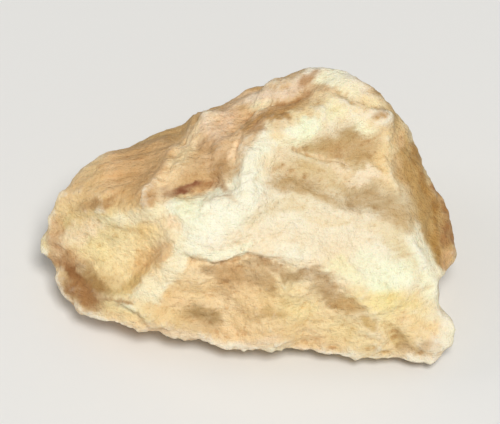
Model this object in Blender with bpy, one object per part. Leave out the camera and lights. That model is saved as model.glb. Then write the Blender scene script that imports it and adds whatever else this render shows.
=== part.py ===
"""A chip of orris root: the peeled and dried rhizome of an iris, cut and broken small.

The chip is one solid, 12.3 mm long, and lies on a flat cut face. Every point of it is
found along a ray from the chip's middle. Each face that the blade or a break left is a
plane, given by where it faces and how far it lies from the middle. The nearest plane
along a ray gives the rough block, and hollows, swellings, crests, ledges, rootlet scars
and fine unevenness are then raised or sunk on it. Lengths are in millimetres until the
points become a mesh.
"""
import math

import bmesh
import bpy
import numpy as np

MM = 0.001
CHIP = "orris_root_chip"

# The middle that the rays start from: across, back and above the resting face.
MIDDLE = np.array([0.115, -0.26, 2.45])
# The block is cut this far below the resting face first, then trimmed flat at it. Points
# as near the trim as the snap are moved onto it.
TRIM_SPARE = 0.3
TRIM_SNAP = 0.03
# The rays leave through a box of this shape. Its grid has more rows where it is longer, so
# that the mesh is even.
SPREAD = np.array([6.2, 4.0, 3.0])
ROWS = (42, 28, 21)
# Faces that meet at a wider angle than this, in degrees, are shaded with a crisp edge.
CRISP_ANGLE = 35

# Faces: turn about the upright axis from +X, lift above level, distance from the middle,
# and how uneven the face is. A break is rough, a cut is smoother, the skin smoothest.
BREAK, CUT, SKIN = 0.075, 0.045, 0.02
LONG_RIPPLE, SHORT_RIPPLE, SHORT_SHARE = 2.6, 1.2, 0.45
FACES = {
    "chalky_face": (-66, 58, 2.70, CUT),
    "chalky_low": (-68, 39, 3.23, CUT),
    "chalky_left": (-101, 52, 2.68, CUT),
    "front_break": (-91, 17, 3.06, BREAK),
    "front_left_break": (-97, 27, 2.80, BREAK),
    "left_scoop": (-129, 37, 3.40, CUT),
    "upper_left": (-167, 76, 2.95, BREAK),
    "left_strip": (170, 66, 3.28, SKIN),
    "top_edge": (-175, 82, 3.15, CUT),
    "right_strip": (-17, 42, 4.37, SKIN),
    "right_side": (5, -11, 5.87, SKIN),
    "right_low": (-6, -21, 6.21, BREAK),
    "right_back": (27, 7, 5.16, CUT),
    "top_right": (52, 21, 4.98, SKIN),
    "back": (106, 18, 3.64, SKIN),
    "back_left": (118, 19, 3.74, SKIN),
    "left_back": (149, 10, 5.17, CUT),
    "left_under": (-154, -27, 5.81, BREAK),
    "front_left_under": (-119, -55, 3.73, BREAK),
    "front_under": (-100, -63, 3.04, BREAK),
    "back_under": (95, -35, 3.85, BREAK),
    "right_under": (35, -42, 4.90, CUT),
    "left_heel": (165, -45, 4.84, BREAK),
}

# Edges are rounded a little, and more where the outer skin of the root wraps the back.
EDGE_ROUNDING = 0.12
SKIN_ROUNDING = 0.28
SKIN_MIDDLE = (100, 10)
SKIN_FADE = (0.2, 0.8)

# Relief is laid out square to a side, in millimetres across and up from the middle, as
# seen by someone who looks from that turn and lift. It fades out at the middle's depth,
# and its lines wander a little, so that no form is regular.
NEAR = (-90, 50)
FAR = (100, 15)
LEFT = (-165, 5)
BELOW_LEFT = (-130, -35)
BELOW_RIGHT = (-10, -20)
SIDE_FADE = (-0.6, 0.5)
WANDER, WANDER_LENGTH = 0.12, 2.1

# Hollows: across, up, half length, half width, roll in degrees, depth.
HOLLOWS = {
    NEAR: (
        (-1.35, 1.02, 0.95, 0.42, 0, 0.36),
        (-1.15, 1.70, 0.85, 0.60, 25, 0.16),
        (-2.25, 2.90, 0.60, 0.60, 0, 0.50),
        (-0.45, 2.95, 0.50, 0.20, 25, 0.11),
        (0.80, 3.56, 1.20, 0.17, 16, 0.13),
        (2.66, 3.74, 0.36, 0.20, -10, 0.10),
        (3.47, 3.56, 0.30, 0.20, -20, 0.08),
        (2.20, 1.75, 1.80, 0.90, -12, 0.13),
        (2.60, 2.15, 1.10, 0.55, -8, 0.22),
        (1.35, 1.38, 0.95, 0.34, -12, 0.18),
        (3.60, 0.68, 0.80, 0.40, -14, 0.24),
        (0.90, 0.42, 1.20, 0.24, 10, 0.08),
        (-3.90, -0.75, 1.05, 0.78, -15, 0.20),
        (-3.20, -1.10, 0.28, 0.55, -28, 0.12),
        (-4.25, -0.42, 0.45, 0.22, 10, 0.07),
        (0.60, -2.50, 2.40, 0.60, -6, 0.14),
        (-1.50, -2.95, 0.60, 0.35, -10, 0.10),
        (-3.90, -3.15, 0.85, 0.40, -15, 0.18),
        (-2.65, -3.55, 0.75, 0.36, -10, 0.26),
        (5.95, -4.25, 0.90, 0.50, 45, 0.30),
        (6.05, -2.20, 0.50, 0.66, 0, 0.35),
        (4.35, -3.38, 0.46, 0.13, -22, 0.14),
        (3.60, -3.10, 0.40, 0.16, -30, 0.08),
        (5.30, 0.40, 0.26, 1.10, 8, 0.10),
    ),
    FAR: (
        (2.60, 1.20, 1.30, 0.60, 20, 0.28),
        (-3.10, -0.90, 0.90, 0.70, 0, 0.22),
        (-3.50, 1.70, 1.00, 0.50, -15, 0.20),
        (0.20, 1.85, 1.50, 0.36, 5, 0.14),
        (1.50, -1.60, 1.30, 0.50, 8, 0.20),
    ),
    LEFT: ((0.30, -0.60, 1.20, 0.55, 15, 0.30),),
    BELOW_LEFT: (
        (-1.60, 0.30, 1.10, 0.60, 10, 0.24),
        (2.20, 0.00, 1.30, 0.50, -12, 0.28),
    ),
    BELOW_RIGHT: ((-0.64, 0.92, 1.28, 0.70, -45, 0.52),),
}

# Swellings: across, up, half length, half width, roll in degrees, height.
SWELLINGS = {
    NEAR: (
        (3.71, -1.80, 1.30, 0.85, -20, 0.22),
        (-1.60, -0.40, 0.95, 0.50, 5, 0.16),
        (-4.30, 1.50, 1.00, 0.45, 30, 0.10),
        (0.05, -3.72, 1.90, 0.36, -3, 0.20),
        (3.40, -3.50, 0.42, 0.26, -10, 0.10),
        (4.45, -3.95, 0.40, 0.26, 0, 0.20),
        (5.20, -3.55, 0.35, 0.30, 0, 0.12),
        (4.90, -4.10, 0.35, 0.25, 0, 0.12),
        (5.75, -3.45, 0.35, 0.40, 0, 0.12),
        (0.30, 4.10, 1.15, 0.40, 17, 0.17),
    ),
    FAR: ((0.40, -0.40, 2.60, 1.10, 0, 0.20),),
}

# The long crest of the near side runs from the left tip, round the recess, up to the top.
LONG_CREST = (
    (-4.6, 0.2), (-3.7, 0.5), (-2.8, 0.42), (-2.3, 0.3), (-1.75, 0.1), (-1.2, 0.12), (-0.75, 0.4),
    (-0.35, 0.78), (0.0, 1.25), (0.1, 1.7), (0.3, 2.15), (0.75, 2.6), (1.3, 3.0), (1.85, 3.22), (2.55, 3.35),
    (3.1, 3.2), (3.6, 2.9),
)
RIGHT_CREST = (
    (3.65, 2.9), (3.78, 2.15), (4.05, 1.5), (4.2, 0.7), (4.3, 0.0), (4.55, -0.6), (4.8, -1.2), (5.15, -1.8),
    (5.6, -2.35), (5.85, -3.0),
)
BASIN_CREST = ((1.0, 2.05), (2.1, 1.7), (2.9, 1.38), (4.0, 1.35))
TOP_RIM = ((-1.3, 3.1), (-0.3, 3.75), (0.7, 4.1), (1.8, 4.4), (2.8, 4.3))
RECESS_EDGE = ((-3.0, 0.62), (-2.66, 1.1), (-2.3, 1.7), (-2.0, 2.15), (-1.55, 2.75), (-1.1, 3.15))
SCOOP_CREST = ((-2.4, -0.4), (-2.65, -1.0), (-3.05, -1.65), (-3.3, -2.1), (-3.8, -2.55))
SCOOP_RIM = ((-5.6, -0.9), (-5.2, -1.5), (-4.6, -2.0), (-3.9, -2.4), (-3.2, -2.6))
FRONT_RIM = ((-3.2, -3.15), (-2.0, -3.45), (-0.8, -3.65), (0.8, -3.75), (2.7, -3.85))

# Crests: the bent line that each follows, its height and half its width.
CRESTS = {
    NEAR: (
        (LONG_CREST, 0.20, 0.32),
        (RIGHT_CREST, 0.10, 0.24),
        (BASIN_CREST, 0.16, 0.17),
        (RECESS_EDGE, 0.13, 0.20),
        (TOP_RIM, 0.09, 0.18),
        (SCOOP_CREST, 0.14, 0.28),
        (SCOOP_RIM, 0.10, 0.20),
        (((-6.1, -0.3), (-5.3, -0.8), (-4.7, -1.3)), 0.05, 0.12),
        (((4.4, 2.9), (5.0, 1.8), (5.25, 0.9)), 0.05, 0.14),
        (FRONT_RIM[2:], 0.06, 0.20),
    ),
    FAR: (
        (((0.9, 2.6), (1.2, 0.8), (0.8, -0.8), (1.1, -2.6)), 0.14, 0.26),
        (((-3.4, 2.2), (-3.0, 0.6), (-3.5, -1.2)), 0.10, 0.24),
        (((-4.4, 0.1), (-2.7, -0.2), (-1.9, 0.0)), 0.09, 0.20),
        (((1.3, -0.9), (2.0, -1.5), (3.6, -1.6), (4.8, -1.2)), 0.10, 0.20),
    ),
}

# Ledges: a line with the high side on its left as it runs, its height, and how far from it
# each side takes to even out.
WAVY_LEDGE = (
    (-1.9, -0.92), (-1.14, -1.16), (-0.5, -1.16), (-0.1, -0.85), (0.35, -1.04), (1.1, -1.02), (1.7, -1.08),
    (2.05, -1.5), (2.57, -2.05), (3.0, -2.4), (3.3, -2.7),
)
RECESS_LEDGE = (
    (-0.36, 2.1), (-0.3, 1.65), (-0.35, 1.24), (-0.55, 0.8), (-0.85, 0.5), (-1.2, 0.37), (-1.6, 0.4),
    (-2.1, 0.57), (-2.65, 0.8),
)
FLAKE_LEDGE = ((0.95, 2.2), (1.5, 2.5), (2.1, 2.8), (2.65, 2.98), (3.2, 2.65), (3.75, 2.05))
SKIN_LEDGE = ((2.8, 2.1), (1.6, 1.4), (0.3, 1.2), (-0.9, 1.6), (-2.2, 1.1), (-4.2, 1.0))
LEDGES = {
    NEAR: ((WAVY_LEDGE, 0.26, 0.55), (RECESS_LEDGE, 0.24, 0.45), (FLAKE_LEDGE, 0.20, 0.45)),
    FAR: ((SKIN_LEDGE, 0.18, 0.60),),
}
LEDGE_SHARPNESS = 0.14
LEDGE_END = 0.30

# Rootlet scars, a low ring round a pit: across, up, radius of the ring, depth of the pit.
SCARS = {
    FAR: (
        (-0.80, 0.20, 0.80, 0.30),
        (2.80, -0.50, 0.72, 0.26),
        (-1.90, -1.50, 0.58, 0.20),
        (-3.40, 0.70, 0.42, 0.16),
    ),
}
RING_SHARE, RING_WIDTH, PIT_WIDTH = 0.45, 0.3, 0.6

# Cross-sections: an oval has a flat floor and steep walls, and a crest a narrow top.
OVAL_POWER = 1.5
CREST_POWER = 1.6


def direction(turn, lift):
    """Unit vector that points turn degrees round from +X and lift degrees above level."""
    turn, lift = math.radians(turn), math.radians(lift)
    return np.array([math.cos(lift) * math.cos(turn), math.cos(lift) * math.sin(turn), math.sin(lift)])


def seen_from(points, side):
    """How far the points lie across, up and towards someone who looks from a side."""
    turn, lift = side
    towards = direction(turn, lift)
    across = direction(turn + 90, 0)
    return points @ across, points @ np.cross(towards, across), points @ towards


def step_up(low, high, value):
    """A smooth step from 0 at low to 1 at high."""
    share = np.clip((value - low) / (high - low), 0, 1)
    return share * share * (3 - 2 * share)


def ripples(points, length, seed, count=20):
    """Even, random unevenness: a sum of plane waves of one length with random directions."""
    random = np.random.default_rng(seed)
    ways = random.normal(size=(count, 3))
    ways /= np.linalg.norm(ways, axis=1, keepdims=True)
    starts = random.uniform(0, math.tau, count)
    waves = np.sin(points @ ways.T * (math.tau / length) + starts)
    return waves.sum(axis=1) * math.sqrt(2 / count)


def block(rays):
    """Distance along each ray to the nearest face with rounded edges, and the roughness there."""
    normals = np.array([direction(turn, lift) for turn, lift, _, _ in FACES.values()])
    reaches = np.array([reach for _, _, reach, _ in FACES.values()])
    rough = np.array([uneven for _, _, _, uneven in FACES.values()])
    normals = np.vstack([normals, (0, 0, -1)])
    reaches = np.append(reaches, MIDDLE[2] + TRIM_SPARE)
    rough = np.append(rough, 0)
    facing = rays @ normals.T
    far = np.where(facing > 1e-6, reaches / np.maximum(facing, 1e-6), np.inf)
    nearest = far.min(axis=1, keepdims=True)
    on_skin = step_up(*SKIN_FADE, rays @ direction(*SKIN_MIDDLE))
    rounding = EDGE_ROUNDING + SKIN_ROUNDING * on_skin[:, None]
    shares = np.exp((nearest - far) / rounding)
    total = shares.sum(axis=1)
    distance = nearest[:, 0] - rounding[:, 0] * np.log(total)
    return distance, shares @ rough / total


def oval(across, up, half_length, half_width, roll):
    """1 inside a rolled oval, falling smoothly to 0 outside it."""
    cosine, sine = math.cos(math.radians(roll)), math.sin(math.radians(roll))
    along = (across * cosine + up * sine) / half_length
    beside = (up * cosine - across * sine) / half_width
    return np.exp(-((along**2 + beside**2) ** OVAL_POWER))


def distance_to_line(across, up, line):
    """Distance in the plane of a side to a bent line."""
    nearest = np.full(across.shape, np.inf)
    for (x0, y0), (x1, y1) in zip(line, line[1:]):
        dx, dy = x1 - x0, y1 - y0
        share = np.clip(((across - x0) * dx + (up - y0) * dy) / (dx * dx + dy * dy), 0, 1)
        nearest = np.minimum(nearest, np.hypot(across - x0 - share * dx, up - y0 - share * dy))
    return nearest


def ledge(across, up, line, height, reach):
    """A sharp step along a bent line: its left is raised and its right is sunk, and both even out."""
    nearest = np.full(across.shape, np.inf)
    side = np.zeros(across.shape)
    past = np.zeros(across.shape)
    for (x0, y0), (x1, y1) in zip(line, line[1:]):
        dx, dy = x1 - x0, y1 - y0
        length = math.hypot(dx, dy)
        along = ((across - x0) * dx + (up - y0) * dy) / length
        beside = ((up - y0) * dx - (across - x0) * dy) / length
        over = np.maximum(np.maximum(-along, along - length), 0)
        away = np.hypot(beside, over)
        nearer = away < nearest
        nearest = np.where(nearer, away, nearest)
        side = np.where(nearer, beside, side)
        past = np.where(nearer, over, past)
    high = step_up(-LEDGE_SHARPNESS, LEDGE_SHARPNESS, side) - 0.5
    return height * high * np.exp(-((nearest / reach) ** 2) - (past / LEDGE_END) ** 2)


def scar(across, up, radius, depth):
    """A pit with a low ring round it, where a rootlet grew."""
    away = np.hypot(across, up) / radius
    ring = RING_SHARE * depth * np.exp(-(((away - 1) / RING_WIDTH) ** 2))
    return ring - depth * np.exp(-((away / PIT_WIDTH) ** 2))


def relief(points):
    """How far each point is raised by the forms of all sides."""
    wander = np.stack([ripples(points, WANDER_LENGTH, seed) for seed in (1, 2, 3)], axis=1)
    bent = points + WANDER * wander
    raised = np.zeros(len(points))
    for side in (NEAR, FAR, LEFT, BELOW_LEFT, BELOW_RIGHT):
        across, up, _ = seen_from(bent, side)
        here = step_up(*SIDE_FADE, seen_from(points, side)[2])
        form = np.zeros(len(points))
        for x, y, half_length, half_width, roll, depth in HOLLOWS.get(side, ()):
            form -= depth * oval(across - x, up - y, half_length, half_width, roll)
        for x, y, half_length, half_width, roll, height in SWELLINGS.get(side, ()):
            form += height * oval(across - x, up - y, half_length, half_width, roll)
        for line, height, half_width in CRESTS.get(side, ()):
            away = distance_to_line(across, up, line) / half_width
            form += height * np.exp(-(away**CREST_POWER))
        for line, height, reach in LEDGES.get(side, ()):
            form += ledge(across, up, line, height, reach)
        for x, y, radius, depth in SCARS.get(side, ()):
            form += scar(across - x, up - y, radius, depth)
        raised += form * here
    return raised


def chip_surface(rays):
    """The chip's points, in millimetres from its middle, one on each ray."""
    distance, rough = block(rays)
    points = rays * distance[:, None]
    uneven = ripples(points, LONG_RIPPLE, 11) + SHORT_SHARE * ripples(points, SHORT_RIPPLE, 12)
    return points + rays * (relief(points) + rough * uneven)[:, None]


def make_mesh():
    """A cube grid pushed out to the chip's surface and trimmed flat at the resting face."""
    shape = bmesh.new()
    bmesh.ops.create_cube(shape, size=2)
    for axis, rows in enumerate(ROWS):
        lengthwise = [edge for edge in shape.edges if edge.verts[0].co[axis] != edge.verts[1].co[axis]]
        bmesh.ops.subdivide_edges(shape, edges=lengthwise, cuts=rows - 1, use_grid_fill=True)
    corners = np.array([vertex.co[:] for vertex in shape.verts])
    rays = np.tan(corners * (math.pi / 4)) * SPREAD
    rays /= np.linalg.norm(rays, axis=1, keepdims=True)
    for vertex, place in zip(shape.verts, (chip_surface(rays) + MIDDLE) * MM):
        vertex.co = place
    everything = shape.verts[:] + shape.edges[:] + shape.faces[:]
    bmesh.ops.bisect_plane(
        shape, geom=everything, dist=TRIM_SNAP * MM, plane_co=(0, 0, 0), plane_no=(0, 0, 1),
        use_snap_center=True, clear_inner=True,
    )
    bmesh.ops.edgeloop_fill(shape, edges=[edge for edge in shape.edges if edge.is_boundary])
    bmesh.ops.triangulate(shape, faces=shape.faces[:], quad_method="SHORT_EDGE", ngon_method="BEAUTY")
    bmesh.ops.recalc_face_normals(shape, faces=shape.faces[:])
    mesh = bpy.data.meshes.new(CHIP)
    shape.to_mesh(mesh)
    shape.free()
    mesh.shade_smooth()
    mesh.set_sharp_from_angle(angle=math.radians(CRISP_ANGLE))
    return mesh


def root_material():
    """Dry, chalky, cream coloured root."""
    material = bpy.data.materials.new("dried_root")
    material.use_nodes = True
    shader = material.node_tree.nodes["Principled BSDF"]
    shader.inputs["Base Color"].default_value = (0.80, 0.64, 0.40, 1)
    shader.inputs["Roughness"].default_value = 0.85
    shader.inputs["Metallic"].default_value = 0
    return material


for old in list(bpy.data.objects):
    bpy.data.objects.remove(old)
pieces = bpy.data.collections.new("orris_root")
bpy.context.scene.collection.children.link(pieces)
chip = bpy.data.objects.new(CHIP, make_mesh())
chip.data.materials.append(root_material())
pieces.objects.link(chip)
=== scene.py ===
"""A chip of cut and dried orris root, 12.3 mm long, on a pale studio floor.

The chip's lengths are millimetres until its points become a mesh. The floor, the lamps and the
camera are in metres.
"""

import math

import bpy
import numpy as np
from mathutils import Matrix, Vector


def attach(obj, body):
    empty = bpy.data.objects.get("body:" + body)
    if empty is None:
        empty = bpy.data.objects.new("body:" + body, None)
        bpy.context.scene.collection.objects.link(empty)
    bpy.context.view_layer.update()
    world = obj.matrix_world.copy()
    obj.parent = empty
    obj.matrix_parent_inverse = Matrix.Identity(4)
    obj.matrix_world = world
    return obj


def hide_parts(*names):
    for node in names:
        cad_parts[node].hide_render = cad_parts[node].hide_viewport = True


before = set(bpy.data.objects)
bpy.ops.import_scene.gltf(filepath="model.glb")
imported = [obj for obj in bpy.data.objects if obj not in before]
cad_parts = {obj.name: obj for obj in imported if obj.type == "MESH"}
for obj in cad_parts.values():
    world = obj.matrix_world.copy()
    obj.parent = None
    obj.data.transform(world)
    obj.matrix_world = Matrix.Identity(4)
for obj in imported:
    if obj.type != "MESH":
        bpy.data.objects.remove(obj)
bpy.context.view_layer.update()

# The chip: a bit of an iris rhizome that was peeled, dried hard, chopped with a blade and
# broken. It is one solid of starchy, faintly fibrous root, worn white along its edges, and it
# lies on a flat cut face.

MM = 0.001

# Every point is found along a ray from the chip's middle, which lies this far across, back
# and above the resting face. The rays leave through a box of this shape, with more rows
# where it is longer, so that the mesh is even.
MIDDLE = np.array([0.115, -0.26, 2.45])
SPREAD = np.array([6.2, 4.0, 3.0])
ROWS = np.array([180, 120, 90])

# Colours of dry root.
CHALK = (252, 244, 219)
CREAM = (244, 230, 192)
STRAW = (246, 224, 172)
TAN = (228, 202, 152)
ROSY = (232, 194, 146)
SKIN_BROWN = (208, 174, 120)

# Kinds of face, how uneven each is, the lengths of the long and the short waves that make it
# so, and the short ones' share.
CUT, BREAK, SKIN = "cut", "break", "skin"
UNEVEN = {CUT: 0.045, BREAK: 0.075, SKIN: 0.02}
LONG_RIPPLE, SHORT_RIPPLE, SHORT_SHARE = 2.6, 1.2, 0.45

# Faces that the blade, a break or the peeling left: turn about the upright axis from +X,
# lift above level, distance from the middle, kind, and colour.
FACES = {
    "chalky_face": (-66, 58, 2.70, CUT, CHALK),
    "chalky_low": (-68, 39, 3.23, CUT, CHALK),
    "chalky_left": (-101, 52, 2.68, CUT, CHALK),
    "front_break": (-91, 17, 3.06, BREAK, (249, 221, 174)),
    "front_left_break": (-97, 27, 2.80, BREAK, (249, 221, 174)),
    "left_scoop": (-129, 37, 3.40, CUT, STRAW),
    "upper_left": (-167, 76, 2.95, BREAK, ROSY),
    "left_strip": (170, 66, 3.28, SKIN, ROSY),
    "top_edge": (-175, 82, 3.15, CUT, (234, 210, 172)),
    "right_strip": (-17, 42, 4.37, SKIN, (208, 172, 108)),
    "right_side": (5, -11, 5.87, SKIN, SKIN_BROWN),
    "right_low": (-6, -21, 6.21, BREAK, TAN),
    "right_back": (27, 7, 5.16, CUT, CREAM),
    "top_right": (52, 21, 4.98, SKIN, SKIN_BROWN),
    "back": (106, 18, 3.64, SKIN, SKIN_BROWN),
    "back_left": (118, 19, 3.74, SKIN, SKIN_BROWN),
    "left_back": (149, 10, 5.17, CUT, STRAW),
    "left_under": (-154, -27, 5.81, BREAK, ROSY),
    "front_left_under": (-119, -55, 3.73, BREAK, ROSY),
    "front_under": (-100, -63, 3.04, BREAK, TAN),
    "back_under": (95, -35, 3.85, BREAK, TAN),
    "right_under": (35, -42, 4.90, CUT, STRAW),
    "left_heel": (165, -45, 4.84, BREAK, TAN),
}

# Edges are rounded a little, and more where the outer skin of the root wraps the back.
EDGE_ROUNDING = 0.10
SKIN_ROUNDING = 0.28
SKIN_MIDDLE = (100, 10)
SKIN_FADE = (0.2, 0.8)

# Relief is laid out square to a side, in millimetres across and up from the middle, as
# seen by someone who looks from that turn and lift. It fades out at the middle's depth,
# and its lines wander a little, so that no form is regular.
NEAR = (-90, 50)
FAR = (100, 15)
LEFT = (-165, 5)
BELOW_LEFT = (-130, -35)
BELOW_RIGHT = (-10, -20)
SIDE_FADE = (-0.6, 0.5)
WANDER, WANDER_LENGTH = 0.12, 2.1

# Hollows: across, up, half length, half width, roll in degrees, depth.
HOLLOWS = {
    NEAR: (
        (-1.35, 1.02, 0.95, 0.42, 0, 0.36),
        (-1.15, 1.70, 0.85, 0.60, 25, 0.16),
        (-2.25, 2.90, 0.60, 0.60, 0, 0.50),
        (-0.45, 2.95, 0.50, 0.20, 25, 0.11),
        (0.80, 3.56, 1.20, 0.17, 16, 0.13),
        (2.66, 3.74, 0.36, 0.20, -10, 0.10),
        (3.47, 3.56, 0.30, 0.20, -20, 0.08),
        (2.20, 1.75, 1.80, 0.90, -12, 0.13),
        (2.60, 2.15, 1.10, 0.55, -8, 0.22),
        (1.35, 1.38, 0.95, 0.34, -12, 0.18),
        (3.60, 0.68, 0.80, 0.40, -14, 0.24),
        (0.90, 0.42, 1.20, 0.24, 10, 0.08),
        (-3.90, -0.75, 1.05, 0.78, -15, 0.20),
        (-3.20, -1.10, 0.28, 0.55, -28, 0.12),
        (-4.25, -0.42, 0.45, 0.22, 10, 0.07),
        (0.60, -2.50, 2.40, 0.60, -6, 0.14),
        (-1.50, -2.95, 0.60, 0.35, -10, 0.10),
        (-3.90, -3.15, 0.85, 0.40, -15, 0.18),
        (-2.65, -3.55, 0.75, 0.36, -10, 0.26),
        (5.95, -4.25, 0.90, 0.50, 45, 0.30),
        (6.05, -2.20, 0.50, 0.66, 0, 0.35),
        (4.35, -3.38, 0.46, 0.13, -22, 0.14),
        (3.60, -3.10, 0.40, 0.16, -30, 0.08),
        (5.30, 0.40, 0.26, 1.10, 8, 0.10),
    ),
    FAR: (
        (2.60, 1.20, 1.30, 0.60, 20, 0.28),
        (-3.10, -0.90, 0.90, 0.70, 0, 0.22),
        (-3.50, 1.70, 1.00, 0.50, -15, 0.20),
        (0.20, 1.85, 1.50, 0.36, 5, 0.14),
        (1.50, -1.60, 1.30, 0.50, 8, 0.20),
    ),
    LEFT: ((0.30, -0.60, 1.20, 0.55, 15, 0.30),),
    BELOW_LEFT: (
        (-1.60, 0.30, 1.10, 0.60, 10, 0.24),
        (2.20, 0.00, 1.30, 0.50, -12, 0.28),
    ),
    BELOW_RIGHT: ((-0.64, 0.92, 1.28, 0.70, -45, 0.52),),
}

# Swellings: across, up, half length, half width, roll in degrees, height.
SWELLINGS = {
    NEAR: (
        (3.71, -1.80, 1.30, 0.85, -20, 0.22),
        (-1.60, -0.40, 0.95, 0.50, 5, 0.16),
        (-4.30, 1.50, 1.00, 0.45, 30, 0.10),
        (0.05, -3.72, 1.90, 0.36, -3, 0.20),
        (3.40, -3.50, 0.42, 0.26, -10, 0.10),
        (4.45, -3.95, 0.40, 0.26, 0, 0.20),
        (5.20, -3.55, 0.35, 0.30, 0, 0.12),
        (4.90, -4.10, 0.35, 0.25, 0, 0.12),
        (5.75, -3.45, 0.35, 0.40, 0, 0.12),
        (0.30, 4.10, 1.15, 0.40, 17, 0.17),
    ),
    FAR: ((0.40, -0.40, 2.60, 1.10, 0, 0.20),),
}

# The long crest of the near side runs from the left tip, round the recess, up to the top.
LONG_CREST = (
    (-4.6, 0.2), (-3.7, 0.5), (-2.8, 0.42), (-2.3, 0.3), (-1.75, 0.1), (-1.2, 0.12), (-0.75, 0.4),
    (-0.35, 0.78), (0.0, 1.25), (0.1, 1.7), (0.3, 2.15), (0.75, 2.6), (1.3, 3.0), (1.85, 3.22),
    (2.55, 3.35), (3.1, 3.2), (3.6, 2.9),
)
RIGHT_CREST = (
    (3.65, 2.9), (3.78, 2.15), (4.05, 1.5), (4.2, 0.7), (4.3, 0.0), (4.55, -0.6), (4.8, -1.2), (5.15, -1.8),
    (5.6, -2.35), (5.85, -3.0),
)
BASIN_CREST = ((1.0, 2.05), (2.1, 1.7), (2.9, 1.38), (4.0, 1.35))
TOP_RIM = ((-1.3, 3.1), (-0.3, 3.75), (0.7, 4.1), (1.8, 4.4), (2.8, 4.3))
RECESS_EDGE = ((-3.0, 0.62), (-2.66, 1.1), (-2.3, 1.7), (-2.0, 2.15), (-1.55, 2.75), (-1.1, 3.15))
SCOOP_CREST = ((-2.4, -0.4), (-2.65, -1.0), (-3.05, -1.65), (-3.3, -2.1), (-3.8, -2.55))
SCOOP_RIM = ((-5.6, -0.9), (-5.2, -1.5), (-4.6, -2.0), (-3.9, -2.4), (-3.2, -2.6))
FRONT_RIM = ((-3.2, -3.15), (-2.0, -3.45), (-0.8, -3.65), (0.8, -3.75), (2.7, -3.85))

# Crests: the bent line that each follows, its height and half its width.
CRESTS = {
    NEAR: (
        (LONG_CREST, 0.20, 0.32),
        (RIGHT_CREST, 0.10, 0.24),
        (BASIN_CREST, 0.16, 0.17),
        (RECESS_EDGE, 0.13, 0.20),
        (TOP_RIM, 0.09, 0.18),
        (SCOOP_CREST, 0.14, 0.28),
        (SCOOP_RIM, 0.10, 0.20),
        (((-6.1, -0.3), (-5.3, -0.8), (-4.7, -1.3)), 0.05, 0.12),
        (((4.4, 2.9), (5.0, 1.8), (5.25, 0.9)), 0.05, 0.14),
        (FRONT_RIM[2:], 0.06, 0.20),
    ),
    FAR: (
        (((0.9, 2.6), (1.2, 0.8), (0.8, -0.8), (1.1, -2.6)), 0.14, 0.26),
        (((-3.4, 2.2), (-3.0, 0.6), (-3.5, -1.2)), 0.10, 0.24),
        (((-4.4, 0.1), (-2.7, -0.2), (-1.9, 0.0)), 0.09, 0.20),
        (((1.3, -0.9), (2.0, -1.5), (3.6, -1.6), (4.8, -1.2)), 0.10, 0.20),
    ),
}

# Ledges: a line with the high side on its left as it runs, its height, and how far from it
# each side takes to even out.
WAVY_LEDGE = (
    (-1.9, -0.92), (-1.14, -1.16), (-0.5, -1.16), (-0.1, -0.85), (0.35, -1.04), (1.1, -1.02), (1.7, -1.08),
    (2.05, -1.5), (2.57, -2.05), (3.0, -2.4), (3.3, -2.7),
)
RECESS_LEDGE = (
    (-0.36, 2.1), (-0.3, 1.65), (-0.35, 1.24), (-0.55, 0.8), (-0.85, 0.5), (-1.2, 0.37), (-1.6, 0.4),
    (-2.1, 0.57), (-2.65, 0.8),
)
FLAKE_LEDGE = ((0.95, 2.2), (1.5, 2.5), (2.1, 2.8), (2.65, 2.98), (3.2, 2.65), (3.75, 2.05))
SKIN_LEDGE = ((2.8, 2.1), (1.6, 1.4), (0.3, 1.2), (-0.9, 1.6), (-2.2, 1.1), (-4.2, 1.0))
LEDGES = {
    NEAR: ((WAVY_LEDGE, 0.26, 0.55), (RECESS_LEDGE, 0.24, 0.45), (FLAKE_LEDGE, 0.20, 0.45)),
    FAR: ((SKIN_LEDGE, 0.18, 0.60),),
}
LEDGE_SHARPNESS = 0.14
LEDGE_END = 0.30

# Rootlet scars, a low ring round a pit: across, up, radius of the ring, depth of the pit.
SCARS = {
    FAR: (
        (-0.80, 0.20, 0.80, 0.30),
        (2.80, -0.50, 0.72, 0.26),
        (-1.90, -1.50, 0.58, 0.20),
        (-3.40, 0.70, 0.42, 0.16),
    ),
}
RING_SHARE, RING_WIDTH, PIT_WIDTH = 0.45, 0.3, 0.6

# Cross-sections: an oval has a flat floor and steep walls, and a crest a narrow top. Marks of
# colour are more even inside, with sharper borders.
OVAL_POWER = 1.5
CREST_POWER = 1.6
STAIN_POWER = 2.2
STREAK_POWER = 4

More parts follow.
